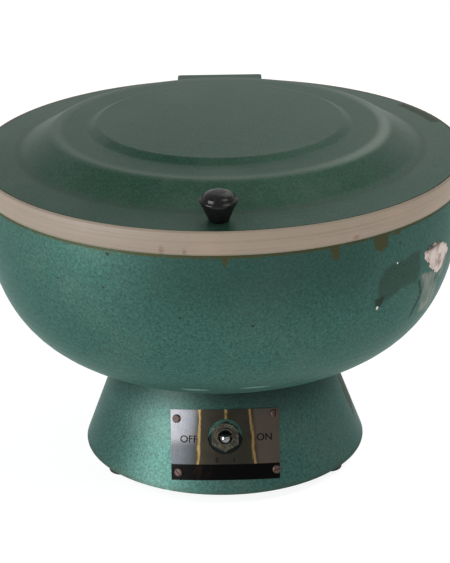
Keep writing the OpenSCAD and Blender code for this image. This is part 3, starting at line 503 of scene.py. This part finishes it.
class CENTRIFUGE_OT_bowl(bpy.types.Operator):
    """Enamels the bowl and the hinge bracket, with old glue on the right"""

    bl_idname = "centrifuge.bowl"
    bl_label = "Bowl"

    def execute(self, context):
        own = context.scene.centrifuge_enamel

        def build(graph):
            azimuth, height, _ = graph.place()
            rough = graph.grain(graph.point(), 120.0, 5.0, 0.7)
            fine = graph.grain(graph.point(), 420.0, 3.0, 0.6)
            wave = rough * 0.65 + fine * 0.35
            glue = graph.most(graph.marks(azimuth, height, wave, GLUE_MARKS),
                              graph.areas(azimuth, height, wave, DRIPS, 1.2, 9.0))
            line = graph.band(height, 256.2, 258.6, 0.7) * graph.ramp(wave, 0.34, 0.5)
            chips = graph.marks(azimuth, height, wave, CHIP_MARKS)
            film = graph.areas(azimuth, height, wave, FILM, 2.0, 14.0) * (0.3 + wave * 0.6)
            strokes = graph.areas(azimuth, height, wave, STROKES, 0.7, 7.0)
            _, y, _ = graph.axes(graph.point())
            drawn = graph.grain(graph.vector(azimuth * 0.5, height * 0.035, y), 1.0, 4.0, 0.7)
            smears = graph.areas(azimuth, height, wave, SMEARS, 2.5, 16.0) * graph.ramp(drawn, 0.3, 0.6)
            specks = graph.marks(azimuth, height, fine, SPECK_MARKS) * 0.8
            # Painted shade: the upper bowl darker from the front round to the right, weaker further right
            # and none at the back
            shade = graph.ramp(height, 175.0, 240.0) * graph.ramp(azimuth, -36.0, -8.0)
            shade = shade * (1 - graph.ramp(azimuth, 150.0, 170.0))
            shade = shade * (1 - graph.ramp(azimuth, 28.0, 42.0) * 0.6)
            glints = graph.marks(azimuth, height, fine, GLINT_MARKS)
            return enamel(graph, own, [
                (shade * 0.55, tuple(c * 0.36 for c in own.colour), 0.5),
                (glints * 0.7, linear(104, 132, 122), 0.4),
                (film, linear(34, 50, 40), 0.75),
                (smears * 0.8, linear(118, 118, 110), 0.7),
                (graph.most(glue, line) * 0.85, own.glue, 0.62),
                (strokes * 0.8, linear(22, 32, 24), 0.62),
                (chips, linear(182, 180, 170), 0.6),
                (specks, linear(24, 28, 20), 0.6),
            ], tuple(own.colour))

        paint(ENAMEL_BOWL, material("enamel_bowl", build))
        return {"FINISHED"}


class CENTRIFUGE_OT_pedestal(bpy.types.Operator):
    """Enamels the pedestal, with dark residue down its right side"""

    bl_idname = "centrifuge.pedestal"
    bl_label = "Pedestal"

    def execute(self, context):
        own = context.scene.centrifuge_enamel

        def build(graph):
            azimuth, height, _ = graph.place()
            rough = graph.grain(graph.point(), 110.0, 5.0, 0.7)
            residue = graph.areas(azimuth, height, rough, PEDESTAL_RESIDUE, 1.5, 10.0, CONE_WEAR_R)
            foot = (1 - graph.ramp(height, 0.5, 5.0)) * graph.ramp(rough, 0.3, 0.6) * 0.5
            return enamel(graph, own, [
                (foot, linear(48, 56, 44), 0.7),
                # Painted shade under the bowl: the pedestal darker towards its top
                (graph.ramp(height, 48.0, 90.0) * 0.75, linear(8, 20, 16), 0.6),
                (residue * 0.9, linear(40, 44, 30), 0.65),
                # Painted shade on the enamel seen through the nameplate's window
                (graph.marks(azimuth, height, rough, WINDOW_SHADE_MARKS, CONE_WEAR_R), linear(8, 20, 16), 0.8),
            ], (own.colour[0], own.colour[1] * 0.92, own.colour[2] * 0.96))

        paint(ENAMEL_PEDESTAL, material("enamel_pedestal", build))
        return {"FINISHED"}


class CENTRIFUGE_OT_band(bpy.types.Operator):
    """Finishes the rubber band with fine scratches and rust stains"""

    bl_idname = "centrifuge.band"
    bl_label = "Rim band"

    def execute(self, context):
        own = context.scene.centrifuge_band
        steel = context.scene.centrifuge_steel

        def build(graph):
            azimuth, height, radius = graph.place()
            point = graph.point()
            lines = graph.grain(graph.vector(azimuth * 0.012, height * 1.3, radius * 0.1), 1.6, 5.0, 0.75)
            cloud = graph.grain(point, 30.0, 4.0, 0.6)
            stains = graph.marks(azimuth, height, cloud, BAND_RUST_MARKS, BAND_WEAR_R) * 0.5
            low = 1 - graph.ramp(height, 259.4, 261.0)
            top = graph.ramp(height, 276.8, 278.4)
            colour = graph.mix(graph.ramp(lines, 0.42, 0.7) * own.scratch, own.colour, own.grime)
            colour = graph.mix(graph.ramp(cloud, 0.45, 0.8) * 0.35, colour, linear(150, 126, 110))
            colour = graph.mix(stains, colour, steel.rust)
            colour = graph.mix(graph.most(low * 0.55, top * 0.3), colour, linear(92, 86, 68))
            return graph.surface({
                "Base Color": colour, "Roughness": 0.5 + lines * 0.2, "Specular IOR Level": 0.3,
                "Normal": graph.bump(lines + cloud * 0.4, 0.12 * MM),
            })

        paint(["rim_band"], material("band_rubber", build))
        return {"FINISHED"}


class CENTRIFUGE_OT_nameplate(bpy.types.Operator):
    """Brushes the nameplate, with its bare black band, and paints reflections into its colour: a pale left
    side, warm streaks and a spark
    """

    bl_idname = "centrifuge.nameplate"
    bl_label = "Nameplate"

    def execute(self, context):
        own = context.scene.centrifuge_steel

        def build(graph):
            azimuth, height, _ = graph.place()
            point = graph.point()
            brush = graph.grain(graph.vector(azimuth * 2.2, height * 0.03, 0.0), 1.5, 4.0, 0.7)
            cloud = graph.grain(point, 70.0, 4.0, 0.6)
            _, y, z = graph.axes(point)
            up = (y * 1000 + CONE_FOOT_R) * math.sin(CONE_SLOPE) + z * (1000 * math.cos(CONE_SLOPE))
            lean = azimuth + (brush - 0.5) * 3 + (cloud - 0.5) * 2 + (up - 40) * 0.015
            # Painted reflection: the plate pale on the left and brighter towards the top there, dark in
            # the middle and lighter on the right
            left = 1 - graph.ramp(azimuth, -16.0, -11.0)
            right = graph.ramp(azimuth, 12.5, 15.0)
            colour = graph.mix(right, linear(36, 35, 29), linear(64, 58, 52))
            pale = graph.mix(graph.ramp(up, 42.0, 52.0), linear(44, 48, 52), own.plate)
            colour = graph.mix(left, colour, pale)
            colour = graph.mix(graph.ramp(cloud, 0.35, 0.7) * 0.3, colour, own.shade)
            # Painted reflection: two warm streaks down the plate, and a warm spark at its top middle
            streak_reflection = graph.most(graph.band(lean, -12.1, -11.3, 0.5), graph.band(lean, 12.1, 12.9, 0.5))
            colour = graph.mix(streak_reflection * (0.1 + brush * 1.0), colour, own.warm_reflection)
            spark_highlight = graph.band(azimuth, -0.1, 1.1, 0.5) * graph.ramp(up, 65.5, 67.5)
            spark_highlight = spark_highlight * graph.ramp(cloud, 0.35, 0.6)
            colour = graph.mix(spark_highlight * 0.9, colour, own.warm_reflection)
            strip = 1 - graph.ramp(up, 26.6, 27.4)
            colour = graph.mix(strip, colour, linear(4, 4, 4))
            stain = graph.ramp(cloud, 0.62, 0.78) * 0.4
            colour = graph.mix(stain, colour, linear(40, 26, 18))
            return graph.surface({
                "Base Color": colour, "Metallic": 0.9 - strip * 0.9, "Roughness": 0.3 + brush * 0.22,
                "Specular IOR Level": 0.02, "Normal": graph.bump(brush + cloud, 0.04 * MM),
            })

        paint(["nameplate"], material("brushed_plate", build))
        return {"FINISHED"}


class CENTRIFUGE_OT_lettering(bpy.types.Operator):
    """Prints plain words and numbers round the switch, wrapped on the cone"""

    bl_idname = "centrifuge.lettering"
    bl_label = "Plate lettering"

    def execute(self, context):
        own = context.scene.centrifuge_lettering
        geometry = bmesh.new()
        for words, across, up, high in PLATE_WORDS:
            curve = bpy.data.curves.new("words", "FONT")
            curve.body = words
            curve.size = high * FONT_FOR_LETTER
            curve.align_x = "CENTER"
            curve.align_y = "CENTER"
            curve.extrude = own.proud / MM
            holder = bpy.data.objects.new("words", curve)
            context.scene.collection.objects.link(holder)
            context.view_layer.update()
            flat = bpy.data.meshes.new_from_object(holder.evaluated_get(context.evaluated_depsgraph_get()))
            for vertex in flat.vertices:
                at = vertex.co
                vertex.co = on_cone(at.x + across, at.y + up, PLATE_FACE + 0.05 + at.z)
            geometry.from_mesh(flat)
            bpy.data.objects.remove(holder)
            bpy.data.curves.remove(curve)
            bpy.data.meshes.remove(flat)

        def build(graph):
            worn = graph.grain(graph.point(), 900.0, 3.0, 0.6)
            colour = graph.mix(graph.ramp(worn, 0.5, 0.8) * 0.5, own.ink, linear(30, 30, 27))
            return graph.surface({"Base Color": colour, "Roughness": 0.5 + worn * 0.2,
                                  "Specular IOR Level": 0.0})

        piece("plate_lettering", geometry, material("plate_ink", build), "housing")
        return {"FINISHED"}


class CENTRIFUGE_OT_label(bpy.types.Operator):
    """Lays the rest of a torn paper label on the bowl"""

    bl_idname = "centrifuge.label"
    bl_label = "Torn label"

    def execute(self, context):
        own = context.scene.centrifuge_label
        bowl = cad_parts["bowl"].data
        tree = BVHTree.FromPolygons([v.co for v in bowl.vertices], [p.vertices for p in bowl.polygons])
        turns = [turn for turn, _ in LABEL_OUTLINE]
        heights = [up for _, up in LABEL_OUTLINE]
        step_up = own.cell / MM
        step_turn = math.degrees(step_up / 210)
        columns = int((max(turns) - min(turns)) / step_turn)
        rows = int((max(heights) - min(heights)) / step_up)
        geometry = bmesh.new()
        corners = {}

        def corner(i, j):
            if (i, j) not in corners:
                turn = min(turns) + i * step_turn
                up = min(heights) + j * step_up
                away = radial(turn, 300, up)
                inward = radial(turn, 0, up) - away
                spot, _, _, _ = tree.ray_cast(away, inward.normalized())
                wrinkle = noise.noise(Vector((turn * 0.35, up * 0.12, 0))) * 0.12 + 0.14
                out = Vector((spot.x, spot.y, 0)).normalized()
                corners[(i, j)] = geometry.verts.new(spot + out * (wrinkle * MM))
            return corners[(i, j)]

        for i in range(columns):
            for j in range(rows):
                turn = min(turns) + (i + 0.5) * step_turn
                up = min(heights) + (j + 0.5) * step_up
                torn = noise.noise(Vector((turn * 1.1, up * 0.3, 3))) * 1.6
                if inside(LABEL_OUTLINE, turn + torn * 0.5, up + torn * 1.2):
                    low = [corner(i, j), corner(i + 1, j)]
                    high = [corner(i + 1, j + 1), corner(i, j + 1)]
                    geometry.faces.new(low + high)
        bmesh.ops.recalc_face_normals(geometry, faces=geometry.faces)
        outward = geometry.faces[0].normal.dot(geometry.faces[0].calc_center_median()) > 0
        if not outward:
            bmesh.ops.reverse_faces(geometry, faces=geometry.faces)
        bmesh.ops.solidify(geometry, geom=geometry.faces[:], thickness=own.thickness)

        def build(graph):
            _, height, _ = graph.place()
            point = graph.point()
            fibre = graph.grain(point, 500.0, 4.0, 0.7)
            stain = graph.grain(point, 90.0, 4.0, 0.65)
            colour = graph.mix(graph.ramp(stain, 0.45, 0.7), own.paper, linear(128, 112, 106))
            colour = graph.mix(graph.ramp(fibre, 0.55, 0.75) * 0.5, colour, linear(96, 92, 80))
            edge = graph.ramp(height, 222.0, 227.0)
            colour = graph.mix(edge * graph.ramp(stain, 0.3, 0.55), colour, linear(44, 42, 34))
            return graph.surface({
                "Base Color": colour, "Roughness": 0.85, "Specular IOR Level": 0.2,
                "Normal": graph.bump(fibre + stain, 0.2 * MM),
            })

        made = piece("label_rest", geometry, material("old_paper", build), "housing")
        for face in made.data.polygons:
            face.use_smooth = True
        return {"FINISHED"}


def inside(outline, x, y):
    """Whether a point lies inside an outline."""
    found = False
    for (x1, y1), (x2, y2) in zip(outline, outline[1:] + outline[:1]):
        if (y1 > y) != (y2 > y) and x < (x2 - x1) * (y - y1) / (y2 - y1) + x1:
            found = not found
    return found


class CENTRIFUGE_OT_knob(bpy.types.Operator):
    """Polishes the black knob"""

    bl_idname = "centrifuge.knob"
    bl_label = "Knob"

    def execute(self, context):
        def build(graph):
            wear = graph.grain(graph.point(), 300.0, 4.0, 0.6)
            colour = graph.mix(graph.ramp(wear, 0.5, 0.8) * 0.4, (0.006, 0.006, 0.006), linear(38, 38, 34))
            return graph.surface({
                "Base Color": colour, "Roughness": 0.14 + graph.ramp(wear, 0.45, 0.75) * 0.15,
                "Specular IOR Level": 0.1,
            })

        paint(["lid_knob"], material("knob_phenolic", build))
        return {"FINISHED"}


class CENTRIFUGE_OT_switch(bpy.types.Operator):
    """Finishes the switch's nut and lever and the rusty plate screws"""

    bl_idname = "centrifuge.switch"
    bl_label = "Switch and plate screws"

    def execute(self, context):
        def nut(graph):
            wear = graph.grain(graph.point(), 500.0, 4.0, 0.65)
            colour = graph.mix(graph.ramp(wear, 0.4, 0.7), linear(36, 36, 29), linear(78, 76, 64))
            return graph.surface({"Base Color": colour, "Metallic": 0.8, "Roughness": 0.34 + wear * 0.2,
                                  "Normal": graph.bump(wear, 0.1 * MM)})

        def chrome(graph):
            x, _, z = graph.axes(graph.point())
            # Painted reflection: the lever dark below and bright above a slanting line
            shade = graph.ramp(z * 1000 + x * 600, 49.5, 54.0)
            colour = graph.mix(shade, linear(24, 24, 22), linear(104, 106, 106))
            return graph.surface({"Base Color": colour, "Metallic": 1.0, "Roughness": 0.09})

        def rusty(graph):
            pit = graph.grain(graph.point(), 700.0, 5.0, 0.7)
            colour = graph.mix(graph.ramp(pit, 0.35, 0.65), linear(28, 20, 15), linear(70, 44, 30))
            return graph.surface({"Base Color": colour, "Metallic": 0.35, "Roughness": 0.62,
                                  "Normal": graph.bump(pit, 0.2 * MM)})

        paint(["switch_nut", "switch_neck"], material("blackened_nut_steel", nut))
        paint(["toggle_lever"], material("lever_chrome", chrome))
        paint(["nameplate_screws"], material("rusty_screw_steel", rusty))
        return {"FINISHED"}


class CENTRIFUGE_OT_metals(bpy.types.Operator):
    """Finishes shafts, screws, castings, sleeves and windings"""

    bl_idname = "centrifuge.metals"
    bl_label = "Drive and rotor metals"

    def execute(self, context):
        own = context.scene.centrifuge_steel

        def plated(graph):
            tone = graph.grain(graph.point(), 220.0, 4.0, 0.6)
            colour = graph.mix(graph.ramp(tone, 0.35, 0.75) * 0.5, own.plated, linear(98, 94, 84))
            return graph.surface({"Base Color": colour, "Metallic": 1.0, "Roughness": 0.3 + tone * 0.2})

        def turned(graph):
            _, height, radius = graph.place()
            rings = graph.grain(graph.vector(radius * 2.2, height * 2.2, 0.0), 1.4, 3.0, 0.7)
            tone = graph.grain(graph.point(), 60.0, 3.0, 0.6)
            colour = graph.mix(graph.ramp(tone, 0.4, 0.75) * 0.4, own.aluminium, linear(132, 134, 134))
            return graph.surface({"Base Color": colour, "Metallic": 1.0, "Roughness": 0.32 + rings * 0.16,
                                  "Normal": graph.bump(rings, 0.03 * MM)})

        def tube(graph):
            tone = graph.grain(graph.point(), 140.0, 4.0, 0.6)
            dull = graph.ramp(tone, 0.4, 0.7) * 0.5
            colour = graph.mix(dull, linear(190, 192, 194), linear(140, 140, 136))
            return graph.surface({"Base Color": colour, "Metallic": 1.0, "Roughness": 0.22 + tone * 0.2})

        def iron(graph):
            tone = graph.grain(graph.point(), 180.0, 4.0, 0.6)
            colour = graph.mix(tone, linear(62, 66, 68), linear(104, 108, 108))
            return graph.surface({"Base Color": colour, "Metallic": 0.3, "Roughness": 0.6,
                                  "Normal": graph.bump(tone, 0.2 * MM)})

        def copper(graph):
            _, _, z = graph.axes(graph.point())
            turns = graph.math("SINE", z * 5200)
            colour = graph.mix(turns * 0.5 + 0.5, linear(120, 66, 34), linear(178, 104, 58))
            return graph.surface({"Base Color": colour, "Metallic": 0.8, "Roughness": 0.35,
                                  "Normal": graph.bump(turns, 0.2 * MM)})

        paint(DULL_STEEL, material("plated_metal", plated))
        paint(["rotor_hub", "rotor_carrier"], material("turned_aluminium", turned))
        paint(SLEEVES, material("sleeve_steel", tube))
        paint(IRON, material("primed_iron", iron))
        paint(["stator_windings"], material("varnished_copper", copper))
        return {"FINISHED"}


class CENTRIFUGE_OT_rubber(bpy.types.Operator):
    """Finishes rubber and plastic pieces"""

    bl_idname = "centrifuge.rubber"
    bl_label = "Rubber and plastic"

    def execute(self, context):
        def rubber(graph):
            tone = graph.grain(graph.point(), 240.0, 4.0, 0.6)
            colour = graph.mix(tone, linear(22, 22, 22), linear(46, 46, 44))
            return graph.surface({"Base Color": colour, "Roughness": 0.72, "Specular IOR Level": 0.1,
                                  "Normal": graph.bump(tone, 0.1 * MM)})

        def black(graph):
            tone = graph.grain(graph.point(), 400.0, 3.0, 0.6)
            colour = graph.mix(tone, linear(18, 18, 18), linear(40, 40, 40))
            return graph.surface({"Base Color": colour, "Roughness": 0.4})

        def cream(graph):
            tone = graph.grain(graph.point(), 160.0, 3.0, 0.6)
            colour = graph.mix(tone, linear(206, 198, 172), linear(176, 164, 138))
            return graph.surface({"Base Color": colour, "Roughness": 0.5})

        paint(BLACK_RUBBER, material("moulded_rubber", rubber))
        paint(BLACK_PLASTIC, material("moulded_black", black))
        paint(["terminal_block"], material("moulded_cream", cream))
        return {"FINISHED"}


class CENTRIFUGE_OT_stage(bpy.types.Operator):
    """Sets camera, lamps, floor and surroundings"""

    bl_idname = "centrifuge.stage"
    bl_label = "Stage"

    def execute(self, context):
        own = context.scene.centrifuge_stage
        scene = context.scene
        ahead = Vector((math.sin(CAMERA_YAW), math.cos(CAMERA_YAW), 0))
        forward = ahead * math.cos(CAMERA_PITCH) - Vector((0, 0, math.sin(CAMERA_PITCH)))
        right = Vector((math.cos(CAMERA_YAW), -math.sin(CAMERA_YAW), 0))
        up = right.cross(forward)
        across = right * math.cos(CAMERA_ROLL) + up * math.sin(CAMERA_ROLL)
        upward = up * math.cos(CAMERA_ROLL) - right * math.sin(CAMERA_ROLL)
        lens = bpy.data.cameras.new("camera")
        lens.lens = own.lens
        lens.sensor_width = SENSOR_WIDTH
        camera = bpy.data.objects.new("camera", lens)
        scene.collection.objects.link(camera)
        turn = Matrix((across, upward, -forward)).transposed().to_4x4()
        camera.matrix_world = Matrix.Translation(Vector(CAMERA_AT)) @ turn
        scene.camera = camera
        scene.view_settings.view_transform = "Standard"
        window = self.lamp(scene, "window_lamp", own.key, (1.2, 1.6), -54, 17, 2.0, (1.0, 0.95, 0.96))
        window.visible_diffuse = False
        soft = self.lamp(scene, "soft_lamp", own.soft, (1.2, 1.6), -54, 24, 2.0, (0.96, 1.0, 1.0))
        soft.visible_glossy = False
        self.lamp(scene, "side_lamp", own.side, (0.8, 1.0), 55, 52, 1.8, (1.0, 1.0, 0.97))
        self.lamp(scene, "rear_lamp", own.rear, (1.0, 1.0), 150, 50, 1.8, (1.0, 1.0, 1.0))
        self.surroundings(scene, own)
        self.floor(scene, own)
        return {"FINISHED"}

    @staticmethod
    def lamp(scene, name, power, size, azimuth, elevation, distance, colour):
        light = bpy.data.lights.new(name, "AREA")
        light.shape = "RECTANGLE"
        light.size, light.size_y = size
        light.energy = power
        light.color = colour
        holder = bpy.data.objects.new(name, light)
        rise = math.radians(elevation)
        away = radial(azimuth, distance * math.cos(rise) * 1000, distance * math.sin(rise) * 1000)
        facing = away.to_track_quat("Z", "Y").to_matrix().to_4x4()
        holder.matrix_world = Matrix.Translation(Vector(LAMPS_FACE) + away) @ facing
        scene.collection.objects.link(holder)
        return holder

    @staticmethod
    def surroundings(scene, own):
        world = bpy.data.worlds.new("surroundings")
        scene.world = world
        world.use_nodes = True
        graph = Graph(world.node_tree)
        seen = graph.node("ShaderNodeLightPath", {}, {}, "Is Camera Ray")
        mirrored = graph.node("ShaderNodeLightPath", {}, {}, "Is Glossy Ray")
        through = graph.node("ShaderNodeLightPath", {}, {}, "Is Transmission Ray")
        white = graph.math("MINIMUM", seen + mirrored + through, 1.0)
        strength = own.air + white * (1 - own.air)
        light = graph.node("ShaderNodeBackground", {}, {"Color": (1, 1, 1, 1), "Strength": strength})
        graph.node("ShaderNodeOutputWorld", {}, {"Surface": light})

    @staticmethod
    def floor(scene, own):
        geometry = bmesh.new()
        bmesh.ops.create_grid(geometry, x_segments=1, y_segments=1, size=FLOOR_HALF)
        bmesh.ops.translate(geometry, vec=(0, 0, own.floor_z), verts=geometry.verts)
        mesh = bpy.data.meshes.new("floor")
        geometry.to_mesh(mesh)
        geometry.free()
        made = bpy.data.objects.new("floor", mesh)
        scene.collection.objects.link(made)

        def build(graph):
            tone = (FLOOR_TONE, FLOOR_TONE, FLOOR_TONE, 1)
            pale = graph.node("ShaderNodeBsdfDiffuse", {}, {"Color": tone})
            seen = graph.node("ShaderNodeLightPath", {}, {}, "Is Camera Ray")
            strength = FLOOR_GLOW - seen * (FLOOR_GLOW - FLOOR_GLOW_SEEN)
            glow = graph.node("ShaderNodeEmission", {}, {"Color": (1, 1, 1, 1), "Strength": strength})
            return graph.node("ShaderNodeAddShader", {}, {0: pale, 1: glow})

        mesh.materials.append(material("pale_floor", build))


class CENTRIFUGE_PT_panel(bpy.types.Panel):
    """Lists the centrifuge's pieces"""

    bl_label = "Centrifuge"
    bl_idname = "CENTRIFUGE_PT_panel"
    bl_space_type = "VIEW_3D"
    bl_region_type = "UI"
    bl_category = "Centrifuge"

    def draw(self, context):
        for group in GROUPS:
            own = getattr(context.scene, group)
            box = self.layout.box()
            for name in own.__annotations__:
                box.prop(own, name)
        for operator in OPERATORS:
            self.layout.operator(operator.bl_idname)


GROUPS = {
    "centrifuge_enamel": EnamelFinish,
    "centrifuge_band": BandFinish,
    "centrifuge_steel": SteelFinish,
    "centrifuge_lettering": LetteringSize,
    "centrifuge_label": LabelRest,
    "centrifuge_stage": StageLook,
}
OPERATORS = [CENTRIFUGE_OT_lid, CENTRIFUGE_OT_bowl, CENTRIFUGE_OT_pedestal, CENTRIFUGE_OT_band,
             CENTRIFUGE_OT_nameplate, CENTRIFUGE_OT_lettering, CENTRIFUGE_OT_label, CENTRIFUGE_OT_knob,
             CENTRIFUGE_OT_switch, CENTRIFUGE_OT_metals, CENTRIFUGE_OT_rubber, CENTRIFUGE_OT_stage]


def register():
    for group, kind in GROUPS.items():
        bpy.utils.register_class(kind)
        setattr(bpy.types.Scene, group, bpy.props.PointerProperty(type=kind))
    for operator in OPERATORS:
        bpy.utils.register_class(operator)
    bpy.utils.register_class(CENTRIFUGE_PT_panel)


def unregister():
    bpy.utils.unregister_class(CENTRIFUGE_PT_panel)
    for operator in reversed(OPERATORS):
        bpy.utils.unregister_class(operator)
    for group, kind in GROUPS.items():
        delattr(bpy.types.Scene, group)
        bpy.utils.unregister_class(kind)


def main():
    register()
    bpy.ops.centrifuge.lid()
    bpy.ops.centrifuge.bowl()
    bpy.ops.centrifuge.pedestal()
    bpy.ops.centrifuge.band()
    bpy.ops.centrifuge.nameplate()
    bpy.ops.centrifuge.lettering()
    bpy.ops.centrifuge.label()
    bpy.ops.centrifuge.knob()
    bpy.ops.centrifuge.switch()
    bpy.ops.centrifuge.metals()
    bpy.ops.centrifuge.rubber()
    bpy.ops.centrifuge.stage()


if __name__ == "__main__":
    main()
